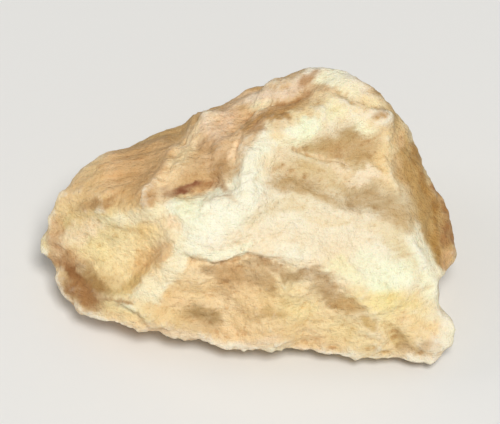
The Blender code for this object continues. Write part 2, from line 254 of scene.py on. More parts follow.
# Streaks of colour along lines, some of them painted shade: the line, half its width, colour,
# strength. Every mark of colour is patchy along the grain, and a strength above 1 leaves fewer gaps in it.
STREAKS = {
    NEAR: (
        (LONG_CREST[3:12], 0.32, (255, 252, 228), 1.10),
        (LONG_CREST[11:], 0.34, (250, 230, 184), 0.90),
        (((-5.4, -0.43), (-4.86, -0.32), (-4.1, 0.03), (-3.2, 0.28), (-2.7, 0.35)),
         0.22, (255, 245, 209), 1.25),
        (RIGHT_CREST[1:4], 0.22, (255, 240, 202), 0.90),
        (RIGHT_CREST[5:], 0.24, (255, 252, 230), 0.95),
        (((4.3, 2.45), (4.42, 2.1), (4.80, 1.6), (4.94, 0.9), (5.08, -0.1), (5.5, -0.7)),
         0.19, (196, 160, 100), 0.85),
        (((4.72, -0.3), (4.98, -0.75), (5.22, -1.3), (5.5, -1.9), (5.65, -2.3)),
         0.22, (255, 248, 218), 0.95),
        (((-2.2, -0.72), (-1.2, -0.92), (-0.6, -0.88), (-0.2, -0.6)), 0.20, (255, 250, 220), 1.20),
        (((5.55, -1.6), (5.75, -2.4), (5.85, -3.0)), 0.28, (252, 240, 206), 1.20),
        (((-2.2, -0.5), (-2.3, -0.9), (-2.5, -1.5), (-3.0, -2.1)), 0.28, (255, 246, 214), 1.15),
        (SCOOP_CREST[2:], 0.24, (255, 244, 210), 1.00),
        # Painted shade on the scoop's side of its crest.
        (((-2.8, -0.85), (-3.1, -1.25), (-3.45, -1.65)), 0.20, (210, 172, 118), 0.60),
        (RECESS_EDGE[1:], 0.17, (255, 228, 184), 0.90),
        (TOP_RIM[:2], 0.24, (255, 228, 196), 1.80),
        (((-0.5, 3.65), (0.1, 3.7), (0.72, 3.95), (1.2, 4.1)), 0.22, (250, 228, 200), 1.60),
        (((-0.2, 2.66), (0.2, 2.80), (0.55, 2.98), (1.0, 3.3), (1.4, 3.5)), 0.16, (196, 156, 100), 0.95),
        (SCOOP_RIM, 0.20, (250, 228, 188), 0.80),
        (FRONT_RIM, 0.17, (248, 224, 190), 0.75),
        (((-6.2, -0.4), (-5.5, -0.7), (-4.9, -1.3)), 0.16, (238, 208, 172), 0.50),
        # The next three streaks are painted shade under the left tip, over the root's own rust brown.
        (((-6.1, -0.9), (-5.75, -1.05), (-5.35, -1.34)), 0.20, (160, 106, 58), 1.00),
        (((-5.5, -1.32), (-5.1, -1.70), (-4.65, -2.0)), 0.20, (144, 98, 52), 1.20),
        (((-4.8, -1.95), (-4.3, -2.3), (-3.8, -2.5)), 0.09, (176, 134, 88), 0.65),
        (((1.8, 4.3), (2.4, 4.4), (3.1, 4.1)), 0.32, (255, 250, 234), 0.95),
        (((4.7, 2.4), (5.15, 1.4), (5.35, 0.4), (5.5, -0.5), (5.6, -1.3)), 0.14, (176, 130, 60), 0.70),
        (((5.5, 1.2), (5.72, 0.4), (5.82, -0.4)), 0.18, (176, 128, 76), 0.90),
        (((5.86, -0.8), (5.7, -1.25)), 0.20, (226, 182, 130), 0.90),
        # This streak and the next are painted shadow under the wavy ledge.
        (((-1.5, -1.40), (-0.5, -1.50), (0.0, -1.25), (1.0, -1.30), (1.85, -1.35), (2.08, -1.80),
          (2.5, -2.35)), 0.20, (188, 156, 112), 0.82),
        (((-0.9, -1.75), (0.3, -1.75)), 0.32, (202, 168, 120), 0.85),
    ),
}

# Stains and patches of painted shade: across, up, half length, half width, roll in degrees, colour,
# strength.
STAINS_AND_PAINTED_SHADE = {
    NEAR: (
        (2.45, 1.72, 1.50, 0.92, -12, (230, 208, 162), 0.80),
        (-1.40, 1.50, 0.95, 0.58, 20, (216, 180, 134), 0.80),
        (-0.90, 1.60, 0.26, 0.55, -10, (196, 158, 112), 0.60),
        (-0.52, 2.05, 0.20, 0.38, -8, (255, 226, 186), 0.85),
        # This stain and the next are painted shade at the foot of the step into the recess.
        (-1.95, 0.84, 0.60, 0.17, -4, (148, 96, 68), 0.95),
        (-1.15, 0.76, 0.45, 0.18, 4, (186, 144, 98), 0.80),
        (-0.85, 1.35, 0.40, 0.40, 0, (190, 152, 106), 0.60),
        (-0.90, 2.98, 0.55, 0.26, 35, (244, 212, 176), 0.95),
        (0.20, 2.60, 0.26, 0.16, 45, (206, 168, 124), 0.90),
        (-1.25, 2.48, 0.30, 0.26, 40, (204, 166, 120), 0.80),
        (1.15, 3.50, 0.72, 0.17, 20, (208, 168, 118), 0.80),
        (0.32, 3.42, 0.42, 0.22, 26, (255, 244, 208), 1.20),
        (0.25, 4.02, 0.30, 0.13, 20, (200, 172, 136), 0.80),
        (2.70, 3.58, 0.34, 0.16, -10, (214, 198, 156), 0.65),
        (2.45, 4.02, 0.75, 0.34, -8, (255, 250, 218), 1.60),
        (3.50, 3.58, 0.40, 0.24, -30, (252, 238, 196), 1.00),
        (3.72, 3.06, 0.22, 0.24, -40, (192, 152, 96), 1.20),
        (4.22, 2.40, 0.16, 0.36, 8, (230, 196, 146), 0.85),
        (1.95, 3.64, 0.32, 0.17, 0, (220, 188, 144), 0.65),
        (3.90, 1.95, 0.27, 0.70, 0, (248, 224, 174), 0.90),
        (1.62, 4.22, 0.50, 0.22, 12, (196, 156, 114), 1.00),
        (-3.20, -0.35, 0.34, 0.30, 0, (255, 228, 168), 0.70),
        (3.72, -1.58, 0.80, 0.60, -20, (255, 255, 226), 1.20),
        (1.15, -0.76, 0.55, 0.20, -5, (255, 250, 226), 0.80),
        (5.45, -3.20, 0.40, 0.36, 0, (255, 226, 180), 0.85),
        (2.66, 2.06, 0.98, 0.48, -14, (204, 170, 118), 0.95),
        (2.65, 2.60, 0.42, 0.30, 0, (192, 162, 110), 0.80),
        (1.75, 2.25, 0.60, 0.24, 30, (200, 170, 118), 0.70),
        (1.35, 1.38, 0.95, 0.34, -12, (226, 202, 156), 0.80),
        (1.60, 1.86, 0.70, 0.10, -18, (244, 220, 180), 0.85),
        (2.66, 1.46, 0.50, 0.11, -18, (246, 224, 186), 1.00),
        (3.08, 1.74, 0.50, 0.19, -20, (202, 170, 118), 0.95),
        (3.36, 1.30, 0.68, 0.12, 4, (255, 240, 212), 1.00),
        (1.48, 2.86, 0.60, 0.22, 28, (255, 255, 224), 1.20),
        (0.98, 2.32, 0.44, 0.19, 34, (252, 244, 210), 1.20),
        (0.85, 2.84, 0.28, 0.14, 36, (240, 216, 174), 0.90),
        (0.45, 1.60, 0.24, 0.48, -10, (255, 240, 204), 0.80),
        (2.36, 3.26, 0.42, 0.17, 0, (255, 250, 208), 0.75),
        (1.80, 3.34, 0.36, 0.20, 0, (236, 208, 158), 0.60),
        (3.18, 2.68, 0.42, 0.22, -48, (255, 254, 222), 1.20),
        (1.12, 0.96, 0.62, 0.25, -5, (208, 180, 134), 0.95),
        (1.78, 0.90, 0.62, 0.26, -12, (206, 178, 132), 0.95),
        (3.46, 0.74, 1.08, 0.44, -10, (192, 168, 126), 0.85),
        (4.25, 0.08, 0.60, 0.36, -45, (206, 174, 122), 0.85),
        (3.95, -0.42, 0.60, 0.28, -30, (238, 220, 178), 0.75),
        (0.90, 0.42, 1.30, 0.24, 10, (238, 222, 184), 0.60),
        (2.10, 0.16, 0.90, 0.30, -8, (242, 224, 184), 0.65),
        (-4.20, 1.40, 1.60, 0.70, 32, (234, 194, 142), 0.60),
        (-4.55, 0.56, 0.60, 0.26, 25, (186, 144, 94), 1.00),
        (-3.29, 0.92, 0.32, 0.16, 20, (242, 206, 156), 0.80),
        (-3.90, -0.75, 1.05, 0.75, -15, (252, 230, 178), 0.80),
        (-4.10, -1.60, 0.60, 0.40, -30, (224, 192, 136), 0.90),
        (-4.25, -0.42, 0.50, 0.24, 10, (228, 210, 158), 0.60),
        (-5.84, -0.30, 0.42, 0.62, 0, (218, 178, 136), 1.00),
        (-1.50, -2.90, 0.60, 0.34, -10, (208, 174, 124), 0.60),
        (1.70, -2.70, 1.10, 0.42, -20, (252, 226, 176), 0.80),
        (2.52, -1.46, 0.54, 0.28, -40, (255, 252, 216), 1.20),
        (5.05, -1.92, 0.34, 0.52, 28, (255, 250, 216), 2.00),
        (-1.50, -0.35, 0.90, 0.45, 5, (255, 252, 232), 0.70),
        (4.00, -2.52, 1.40, 0.50, -14, (255, 232, 170), 0.85),
        (4.60, -3.44, 0.62, 0.20, -18, (178, 146, 96), 0.90),
        (4.05, -3.10, 0.50, 0.30, -25, (252, 226, 168), 0.75),
        (4.90, -3.10, 0.60, 0.30, 0, (248, 218, 160), 0.80),
        (5.00, -3.75, 0.70, 0.34, 0, (226, 196, 154), 0.70),
        (4.30, -3.88, 0.55, 0.16, -5, (252, 228, 192), 0.90),
        (3.38, -3.10, 0.36, 0.18, -42, (214, 180, 122), 0.85),
        (2.84, -2.54, 0.44, 0.21, -30, (208, 174, 122), 0.90),
        (-2.95, 0.66, 0.24, 0.22, 0, (204, 166, 120), 0.90),
        (0.33, -2.76, 0.55, 0.24, -5, (206, 172, 116), 0.75),
        (-1.42, -2.60, 0.50, 0.30, -10, (182, 150, 100), 0.95),
        (-2.12, -2.35, 0.38, 0.26, 0, (252, 224, 180), 0.85),
        (-5.10, -0.40, 0.56, 0.34, 10, (255, 234, 204), 1.10),
        (-3.20, -1.05, 0.32, 0.28, 0, (222, 180, 120), 0.65),
        (-2.78, -0.92, 0.22, 0.36, -10, (232, 200, 154), 0.80),
        (-2.35, -0.02, 0.26, 0.20, 0, (255, 226, 188), 0.70),
        (-3.50, -1.65, 0.22, 0.50, -30, (214, 184, 120), 0.60),
        # The last three stains are painted shade under the left tip, over the root's own rust brown.
        (-5.42, -1.06, 0.45, 0.24, -38, (198, 156, 108), 0.90),
        (-4.52, -1.72, 0.62, 0.32, -38, (168, 132, 78), 1.00),
        (-5.05, -2.20, 0.95, 0.45, -38, (168, 122, 72), 0.95),
    ),
    FAR: (
        (2.60, 1.25, 1.30, 0.55, 20, (196, 158, 106), 0.60),
        (-3.10, -0.90, 0.90, 0.60, 0, (200, 166, 112), 0.50),
        (0.40, 1.35, 1.50, 0.32, 5, (192, 156, 106), 0.50),
        (1.20, -1.90, 1.60, 0.60, 8, (224, 196, 144), 0.50),
        (-2.20, 0.90, 1.00, 0.40, -10, (222, 192, 142), 0.50),
        (4.60, 0.30, 0.80, 1.00, 0, (232, 208, 156), 0.50),
    ),
}

# A rootlet scar's colours, from its ring inwards: where and half its width, both as a share of
# the ring's radius, colour, strength.
SCAR_BANDS = (
    (1.0, 0.28, (226, 200, 154), 0.65),
    (0.0, 0.62, (146, 106, 66), 0.80),
    (0.0, 0.20, (206, 172, 124), 0.60),
)

# The grain of the root runs along the chip, a little askew: turn and lift.
GRAIN = (8, 10)

# Random forms are laid out on a grid of cells. Each cell gets one of so many numbers, by its
# three steps times big primes, and a gain brings smooth lumps to about -1 to 1.
CELL_NUMBERS = 4096
CELL_PRIMES = (73856093, 19349663, 83492791)
LUMP_GAIN = 1.6

# Strands of fibre: spacing along and across the grain, and half a strand as a share of it.
STRAND_LENGTH, STRAND_SPACING, STRAND_SHARE = 3.0, 0.62, 0.17

# Small pits: half width as a share of their spacing, how much wider some are, in how many sizes.
NARROW_PIT, PIT_EXTRA, PIT_SIZES = 0.09, 0.15, 61

# Nicks along worn edges: how many, their radius from and to, and depth as a share of the radius.
# They sit where an edge stands out by more than one limit, and more often the more it does, up to
# another limit past that one. None is lower than a height over the resting face.
NICKS = 110
NICK_RADIUS = (0.12, 0.42)
NICK_DEPTH, NICK_POWER = 0.26, 0.7
NICK_EDGE, NICK_EDGE_MOST = 0.03, 0.2
NICK_HEIGHT = 0.4

# Rounds of smoothing that bring out the grain, the edges, and the broad ridges and hollows.
GRAIN_ROUNDS, EDGE_ROUNDS, BROAD_ROUNDS = 10, 90, 300

# On the resting face the fine relief only sinks, by this share of its height.
RESTING_SHARE = 0.5

# The borders between the faces' colours: how far they wander off the edges, and how soft they are.
BORDER_DRIFT, BORDER_SOFTNESS = 0.22, 0.28

# Marks have ragged borders: how far these drift and over what length, coarse and fine. Their
# cover varies in patches along the grain: by how much, how long and wide, and up to what.
COARSE_DRIFT, COARSE_LENGTH = 0.13, 0.5
FINE_DRIFT, FINE_LENGTH = 0.09, 0.17
PATCHINESS = 0.40
PATCH_LENGTH, PATCH_WIDTH = 0.9, 0.3
MOST_COVER = 1.15

# Wear whitens what stands out, between these millimetres and by this share, broadly and at
# edges. It whitens brown ground less: from and to this much green, and the least of it.
BROAD_WEAR, BROAD_WEAR_SHARE = (0.02, 0.34), 0.7
EDGE_WEAR, EDGE_WEAR_SHARE = (0.03, 0.20), 0.4
CHALKY_GREEN, BROWN_WEAR = (0.25, 0.70), 0.10


def direction(turn, lift):
    """Unit vector that points turn degrees round from +X and lift degrees above level."""
    turn, lift = math.radians(turn), math.radians(lift)
    return np.array([math.cos(lift) * math.cos(turn), math.cos(lift) * math.sin(turn), math.sin(lift)])


def seen_from(points, side):
    """How far the points lie across, up and towards someone who looks from a side."""
    turn, lift = side
    towards = direction(turn, lift)
    across = direction(turn + 90, 0)
    return points @ across, points @ np.cross(towards, across), points @ towards


def step_up(low, high, value):
    """A smooth step from 0 at low to 1 at high: 3 t squared less 2 t cubed."""
    share = np.clip((value - low) / (high - low), 0, 1)
    return share * share * (3 - 2 * share)


def ripples(points, length, seed, count=20):
    """Random unevenness of an even kind: a sum of plane waves of one length with random
    directions, over a root of their count, so that its spread is about 1."""
    random = np.random.default_rng(seed)
    ways = random.normal(size=(count, 3))
    ways /= np.linalg.norm(ways, axis=1, keepdims=True)
    starts = random.uniform(0, math.tau, count)
    waves = np.sin(points @ ways.T * (math.tau / length) + starts)
    return waves.sum(axis=1) * math.sqrt(2 / count)


def cell_numbers(cells):
    """A number for each cell of a grid: its three steps times big primes, mixed bit by bit."""
    across, back, up = (cells * CELL_PRIMES).T
    return (across ^ back ^ up) % CELL_NUMBERS


def lumps(points, size, seed):
    """Smooth lumps, about -1 to 1: random slopes at a grid's corners, blended between them by
    6 t to the fifth less 15 t to the fourth plus 10 t cubed."""
    slopes = np.random.default_rng(seed).normal(size=(CELL_NUMBERS, 3))
    slopes /= np.linalg.norm(slopes, axis=1, keepdims=True)
    place = points / size
    cells = np.floor(place).astype(np.int64)
    inside = place - cells
    blend = inside**3 * (inside * (inside * 6 - 15) + 10)
    total = np.zeros(len(points))
    for corner in np.ndindex(2, 2, 2):
        share = np.where(corner, blend, 1 - blend).prod(axis=1)
        slope = slopes[cell_numbers(cells + corner)]
        total += share * ((inside - corner) * slope).sum(axis=1)
    return total * LUMP_GAIN


def rubble(points, size, seed, layers=4, fade=0.5):
    """Lumps on lumps: each layer has half the size of the last, and fade times its height."""
    return sum(fade**n * lumps(points, size / 2**n, seed + n) for n in range(layers))


def seeds_near(points, size, seed):
    """Distance, in cells, to the nearest of seeds strewn one to a cell, and that seed's number."""
    strewn = np.random.default_rng(seed).random((CELL_NUMBERS, 3))
    place = points / size
    cells = np.floor(place).astype(np.int64)
    nearest = np.full(len(points), np.inf)
    number = np.zeros(len(points), np.int64)
    for step in np.ndindex(3, 3, 3):
        cell = cells + step - 1
        own = cell_numbers(cell)
        away = np.linalg.norm(cell + strewn[own] - place, axis=1)
        number = np.where(away < nearest, own, number)
        nearest = np.minimum(nearest, away)
    return nearest, number


def box_grid(rows):
    """Quads over a box, with a grid of whole-number places on each side. Sides that meet share points.

    Returns the points, from -1 to 1 along each axis, and each quad's four points, anticlockwise
    from outside."""
    near_order = ((0, 0), (0, 1), (1, 1), (1, 0))
    far_order = ((0, 0), (1, 0), (1, 1), (0, 1))
    sides = []
    for axis in range(3):
        right, up = (axis + 1) % 3, (axis + 2) % 3
        column, row = (steps.ravel() for steps in np.indices((rows[right], rows[up])))
        for end, order in ((0, near_order), (rows[axis], far_order)):
            quads = np.zeros((len(column), 4, 3), np.int64)
            quads[:, :, axis] = end
            for corner, (next_column, next_row) in enumerate(order):
                quads[:, corner, right] = column + next_column
                quads[:, corner, up] = row + next_row
            sides.append(quads)
    places = np.concatenate(sides).reshape(-1, 3)
    width = rows.max() + 1
    _, kept, quads = np.unique(places @ (width * width, width, 1), return_index=True, return_inverse=True)
    return places[kept] / rows * 2 - 1, quads.reshape(-1, 4)


def facing_faces(rays):
    """Where each ray leaves through the faces.

    Returns the distance to the nearest face, where a soft minimum rounds the edges: less the
    rounding times the logarithm of the summed shares. Then each face's share, which falls off as
    a power of e with its distance behind the nearest, and that distance."""
    grazing = 1e-6
    normals = np.array([direction(turn, lift) for turn, lift, *_ in FACES.values()])
    reaches = np.array([reach for _, _, reach, *_ in FACES.values()])
    facing = rays @ normals.T
    far = np.where(facing > grazing, reaches / np.maximum(facing, grazing), np.inf)
    nearest = far.min(axis=1, keepdims=True)
    on_skin = step_up(*SKIN_FADE, rays @ direction(*SKIN_MIDDLE))
    rounding = EDGE_ROUNDING + SKIN_ROUNDING * on_skin[:, None]
    shares = np.exp((nearest - far) / rounding)
    total = shares.sum(axis=1, keepdims=True)
    return nearest[:, 0] - rounding[:, 0] * np.log(total[:, 0]), shares / total, far - nearest


def oval(across, up, half_length, half_width, roll, power=OVAL_POWER):
    """1 inside a rolled oval, falling smoothly to 0 outside it: e to the minus of the squared
    distance in radii, which is first raised to a power that steepens the border."""
    cosine, sine = math.cos(math.radians(roll)), math.sin(math.radians(roll))
    along = (across * cosine + up * sine) / half_length
    beside = (up * cosine - across * sine) / half_width
    return np.exp(-((along**2 + beside**2) ** power))


def distance_to_line(across, up, line):
    """Distance in the plane of a side to a bent line: the least of those to its straight parts."""
    nearest = np.full(across.shape, np.inf)
    for (x0, y0), (x1, y1) in zip(line, line[1:]):
        dx, dy = x1 - x0, y1 - y0
        share = np.clip(((across - x0) * dx + (up - y0) * dy) / (dx * dx + dy * dy), 0, 1)
        nearest = np.minimum(nearest, np.hypot(across - x0 - share * dx, up - y0 - share * dy))
    return nearest


def ledge(across, up, line, height, reach):
    """A sharp step along a bent line: its left is raised and its right is sunk, and both even out
    by bell curves of the distance from the line and of the distance past its ends."""
    nearest = np.full(across.shape, np.inf)
    side = np.zeros(across.shape)
    past = np.zeros(across.shape)
    for (x0, y0), (x1, y1) in zip(line, line[1:]):
        dx, dy = x1 - x0, y1 - y0
        length = math.hypot(dx, dy)
        along = ((across - x0) * dx + (up - y0) * dy) / length
        beside = ((up - y0) * dx - (across - x0) * dy) / length
        over = np.maximum(np.maximum(-along, along - length), 0)
        away = np.hypot(beside, over)
        nearer = away < nearest
        nearest = np.where(nearer, away, nearest)
        side = np.where(nearer, beside, side)
        past = np.where(nearer, over, past)
    high = step_up(-LEDGE_SHARPNESS, LEDGE_SHARPNESS, side) - 0.5
    return height * high * np.exp(-((nearest / reach) ** 2) - (past / LEDGE_END) ** 2)


def scar(across, up, radius, depth):
    """A pit with a low ring round it: a bell curve across the ring, less one across the pit."""
    away = np.hypot(across, up) / radius
    ring = RING_SHARE * depth * np.exp(-(((away - 1) / RING_WIDTH) ** 2))
    return ring - depth * np.exp(-((away / PIT_WIDTH) ** 2))


def wandering(points):
    """The points moved by slow random waves, so that what is laid out on them wanders."""
    return points + WANDER * np.stack([ripples(points, WANDER_LENGTH, seed) for seed in (1, 2, 3)], axis=1)


def relief(points):
    """How far each point is raised: the sum of all sides' hollows, swellings, crests, ledges and scars."""
    bent = wandering(points)
    raised = np.zeros(len(points))
    for side in (NEAR, FAR, LEFT, BELOW_LEFT, BELOW_RIGHT):
        across, up, _ = seen_from(bent, side)
        here = step_up(*SIDE_FADE, seen_from(points, side)[2])
        form = np.zeros(len(points))
        for x, y, half_length, half_width, roll, depth in HOLLOWS.get(side, ()):
            form -= depth * oval(across - x, up - y, half_length, half_width, roll)
        for x, y, half_length, half_width, roll, height in SWELLINGS.get(side, ()):
            form += height * oval(across - x, up - y, half_length, half_width, roll)
        for line, height, half_width in CRESTS.get(side, ()):
            away = distance_to_line(across, up, line) / half_width
            form += height * np.exp(-(away**CREST_POWER))
        for line, height, reach in LEDGES.get(side, ()):
            form += ledge(across, up, line, height, reach)
        for x, y, radius, depth in SCARS.get(side, ()):
            form += scar(across - x, up - y, radius, depth)
        raised += form * here
    return raised


def cut_flat(points):
    """Points below the resting face slide back along their rays to it."""
    floor = -MIDDLE[2]
    below = points[:, 2] < floor
    points[below] *= (floor / points[below, 2])[:, None]
    return points, below


def outward(points, quads):
    """Each point's outward direction: the cross products of its quads' diagonals, added up."""
    first, second, third, fourth = (points[quads[:, corner]] for corner in range(4))
    crossed = np.cross(third - first, fourth - second)
    total = np.zeros_like(points)
    for axis in range(3):
        total[:, axis] = np.bincount(quads.ravel(), np.repeat(crossed[:, axis], 4), len(points))
    return total / np.linalg.norm(total, axis=1, keepdims=True)


def smoothed(values, quads, times):
    """Values averaged half and half with the mean of their neighbours, again and again."""
    starts, ends = quads.ravel(), np.roll(quads, -1, axis=1).ravel()
    count = np.bincount(starts, minlength=len(values)) + np.bincount(ends, minlength=len(values))
    for _ in range(times):
        total = np.bincount(starts, values[ends], len(values))
        total += np.bincount(ends, values[starts], len(values))
        values = (values + total / count) / 2
    return values


def standing_proud(points, quads, times):
    """How far each point stands out of the surface smoothed that many times, measured along its
    outward direction: above 0 on an edge, and below 0 in a hollow."""
    smooth = np.stack([smoothed(points[:, axis], quads, times) for axis in range(3)], axis=1)
    return ((points - smooth) * outward(smooth, quads)).sum(axis=1)


def along_grain(points, length, width):
    """The points in a frame whose first axis is the grain, divided along it by a length and
    across it by a width, so that lumps of size 1 come out that long and wide."""
    turn, lift = GRAIN
    along = direction(turn, lift)
    beside = direction(turn + 90, 0)
    above = np.cross(along, beside)
    return np.stack([points @ along / length, points @ beside / width, points @ above / width], axis=1)


def drifted(points, far, size, seed):
    """The points moved about that far by smooth lumps, so that what is laid on them is uneven."""
    return points + far * np.stack([lumps(points, size, seed + axis) for axis in range(3)], axis=1)


def terraced(height, steps):
    """Heights gathered into flat steps, so many to the millimetre, with a slope between them over
    the middle half of each rise."""
    rise = height * steps
    return (np.floor(rise) + step_up(0.25, 0.75, rise - np.floor(rise))) / steps


def fibre_bundles(points):
    """1 in the middle of a strand of fibres, falling by a bell curve to 0 away from it. Strands
    are seeds stretched along the grain."""
    stretched = along_grain(drifted(points, 0.08, 1.5, 31), STRAND_LENGTH, STRAND_SPACING)
    nearest, _ = seeds_near(stretched, 1.0, 41)
    return np.exp(-((nearest / STRAND_SHARE) ** 2))


def small_pits(points, size, seed, share):
    """1 in the middle of a small round pit, falling by a bell curve to 0 outside it. There are
    pits of many sizes, at a share of the seeds."""
    nearest, number = seeds_near(drifted(points, 0.05, 0.25, seed + 1), size, seed)
    wide = NARROW_PIT + PIT_EXTRA * (number % PIT_SIZES) / PIT_SIZES
    return np.exp(-((nearest / wide) ** 2)) * (number % 100 < 100 * share)


def nicks(points, sharp, seed):
    """How deep the edges are chipped: round bites of many sizes at random sharp points. A bite's
    depth goes by 1 less the squared distance from its middle, to a power."""
    random = np.random.default_rng(seed)
    weight = np.clip(sharp - NICK_EDGE, 0, NICK_EDGE_MOST) * (points[:, 2] > NICK_HEIGHT - MIDDLE[2])
    centres = random.choice(len(points), NICKS, p=weight / weight.sum())
    uneven_points = drifted(points, 0.10, 0.35, seed)
    depth = np.zeros(len(points))
    for centre, radius in zip(uneven_points[centres], random.uniform(*NICK_RADIUS, NICKS)):
        away = np.linalg.norm(uneven_points - centre, axis=1) / radius
        bite = np.clip(1 - away**2, 0, 1) ** NICK_POWER
        depth = np.maximum(depth, NICK_DEPTH * radius * bite)
    return depth


def flaked(points, size, seed):
    """Shallow scoops side by side with sharp ridges between them: the squared distance, in cells,
    to the nearest seed."""
    nearest, _ = seeds_near(drifted(points, 0.25 * size, size, seed), size, seed)
    return nearest**2


def fine_relief(points, broken, sliced, skinned):
    """How far each point is raised by what a break, a blade or the skin left on it: the sum of
    the forms below, each times its height in millimetres.

    A break has scoops, small ledges and rough grain, a cut has shallow scoops, grain and
    furrows along the fibres, and the skin is wrinkled lengthwise. Strands of fibre sink a
    little on a cut, and small pits lie everywhere."""
    scoops = flaked(points, 1.7, 35) - 0.25
    coarse = rubble(points, 1.1, 51)
    grain = rubble(drifted(points, 0.05, 0.4, 55), 0.46, 61, layers=3, fade=0.65)
    from_seed, _ = seeds_near(drifted(points, 0.05, 0.3, 34), 0.24, 42)
    dome = 0.5 - from_seed
    furrow = rubble(along_grain(points, 2.0, 0.34), 1.0, 71, layers=2, fade=0.6)
    wrinkle = 0.3 - np.abs(lumps(along_grain(points, 2.6, 0.62), 1.0, 72))
    on_break = 0.15 * scoops + 0.12 * (terraced(coarse, 4) - 0.6 * coarse) + 0.055 * grain + 0.040 * dome
    on_cut = 0.11 * scoops + 0.08 * (terraced(coarse, 3) - 0.7 * coarse) + 0.038 * grain + 0.022 * furrow
    on_cut += 0.022 * dome - 0.020 * fibre_bundles(points)
    on_skin = 0.035 * coarse + 0.024 * grain + 0.11 * wrinkle + 0.018 * furrow
    pits = 0.05 * small_pits(points, 0.95, 43, 0.45) + 0.03 * small_pits(points, 0.45, 47, 0.30)
    return broken * on_break + sliced * on_cut + skinned * on_skin - pits


# The main shape: faces with rounded edges, a little uneven, with the relief laid on them. Rays at
# even angles keep the quads even.
corners, quads = box_grid(ROWS)
rays = np.tan(corners * (math.pi / 4)) * SPREAD
rays /= np.linalg.norm(rays, axis=1, keepdims=True)
distance, shares, behind = facing_faces(rays)
kinds = np.array([kind for *_, kind, _ in FACES.values()])
uneven = np.array([UNEVEN[kind] for kind in kinds])
points = rays * distance[:, None]
ripple = ripples(points, LONG_RIPPLE, 11) + SHORT_SHARE * ripples(points, SHORT_RIPPLE, 12)
points = points + rays * (relief(points) + shares @ uneven * ripple)[:, None]
points, on_base = cut_flat(points)

# The fine surface, square to the main shape, and never below the resting face.
broken, sliced, skinned = (shares @ (kinds == kind) for kind in (BREAK, CUT, SKIN))
edge = standing_proud(points, quads, EDGE_ROUNDS)
fine = fine_relief(points, broken, sliced, skinned) - nicks(points, edge, 91)
fine = np.where(on_base, -np.abs(fine) * RESTING_SHARE, fine)
points = points + outward(points, quads) * fine[:, None]
points[:, 2] = np.maximum(points[:, 2], -MIDDLE[2])
proud = standing_proud(points, quads, GRAIN_ROUNDS)
broad = standing_proud(points, quads, BROAD_ROUNDS)


def linear(colour):
    """A colour of 0 to 255 as shown on a screen, turned into light by the curve that screens use:
    a straight line near black, and a power of 2.4 above it."""
    shown = np.array(colour) / 255
    return np.where(shown <= 0.04045, shown / 12.92, ((shown + 0.055) / 1.055) ** 2.4)


def marks(side, across, up):
    """A side's marks of colour one by one: its form from 0 to 1, colour and strength.

    A streak goes by the distance from its line, a stain or a patch of painted shade is an oval, and each
    band of a scar goes by the distance from its circle."""
    for line, half_width, colour, strength in STREAKS.get(side, ()):
        away = distance_to_line(across, up, line) / half_width
        yield np.exp(-(away**STREAK_POWER)), colour, strength
    for x, y, half_length, half_width, roll, colour, strength in STAINS_AND_PAINTED_SHADE.get(side, ()):
        yield oval(across - x, up - y, half_length, half_width, roll, STAIN_POWER), colour, strength
    for x, y, radius, _ in SCARS.get(side, ()):
        away = np.hypot(across - x, up - y) / radius
        for at, half_width, colour, strength in SCAR_BANDS:
            yield np.exp(-(((away - at) / half_width) ** STREAK_POWER)), colour, strength


# Ground colour: each face's own, with borders that wander one way or the other, and marks over it.
colours = np.array([linear(colour) for *_, colour in FACES.values()])
drift = BORDER_DRIFT * rubble(points, 0.8, 81, layers=3)
way = np.where(np.arange(len(FACES)) % 2, 1, -1)
nearness = np.exp(-np.maximum(behind + drift[:, None] * way, 0) / BORDER_SOFTNESS)
ground = nearness @ colours / nearness.sum(axis=1, keepdims=True)
bent = drifted(wandering(points), COARSE_DRIFT, COARSE_LENGTH, 82)
bent = drifted(bent, FINE_DRIFT, FINE_LENGTH, 86)
patches = rubble(along_grain(points, PATCH_LENGTH, PATCH_WIDTH), 1.0, 83, layers=3, fade=0.6)
patchy = np.clip(1 + PATCHINESS * patches, 0, MOST_COVER)
for side in (NEAR, FAR):
    across, up, _ = seen_from(bent, side)
    here = step_up(*SIDE_FADE, seen_from(points, side)[2])
    for form, colour, strength in marks(side, across, up):
        cover = np.minimum(strength * patchy * here * form, 1)
        ground += (linear(colour) - ground) * cover[:, None]

whitened = BROWN_WEAR + (1 - BROWN_WEAR) * step_up(*CHALKY_GREEN, ground[:, 1])
worn = step_up(*BROAD_WEAR, broad) * BROAD_WEAR_SHARE + step_up(*EDGE_WEAR, edge) * EDGE_WEAR_SHARE

mesh = bpy.data.meshes.new("chip_of_root")
mesh.vertices.add(len(points))
mesh.vertices.foreach_set("co", ((points + MIDDLE) * MM).astype(np.float32).ravel())
mesh.loops.add(quads.size)
mesh.loops.foreach_set("vertex_index", quads.ravel().astype(np.int32))
mesh.polygons.add(len(quads))
mesh.polygons.foreach_set("loop_start", np.arange(0, quads.size, 4, dtype=np.int32))
mesh.update(calc_edges=True)
mesh.validate()
mesh.shade_smooth()
for name, values in (
    ("worn", worn * whitened),
    ("hollow", -broad),
    ("proud", proud),
    ("bundle", fibre_bundles(points)),
):
    attribute = mesh.attributes.new(name, "FLOAT", "POINT")
    attribute.data.foreach_set("value", values.astype(np.float32))
opaque = np.column_stack([ground, np.ones(len(ground))])
attribute = mesh.attributes.new("ground", "FLOAT_COLOR", "POINT")
attribute.data.foreach_set("color", opaque.astype(np.float32).ravel())

chip = bpy.data.objects.new("chip_of_root", mesh)
bpy.context.scene.collection.objects.link(chip)


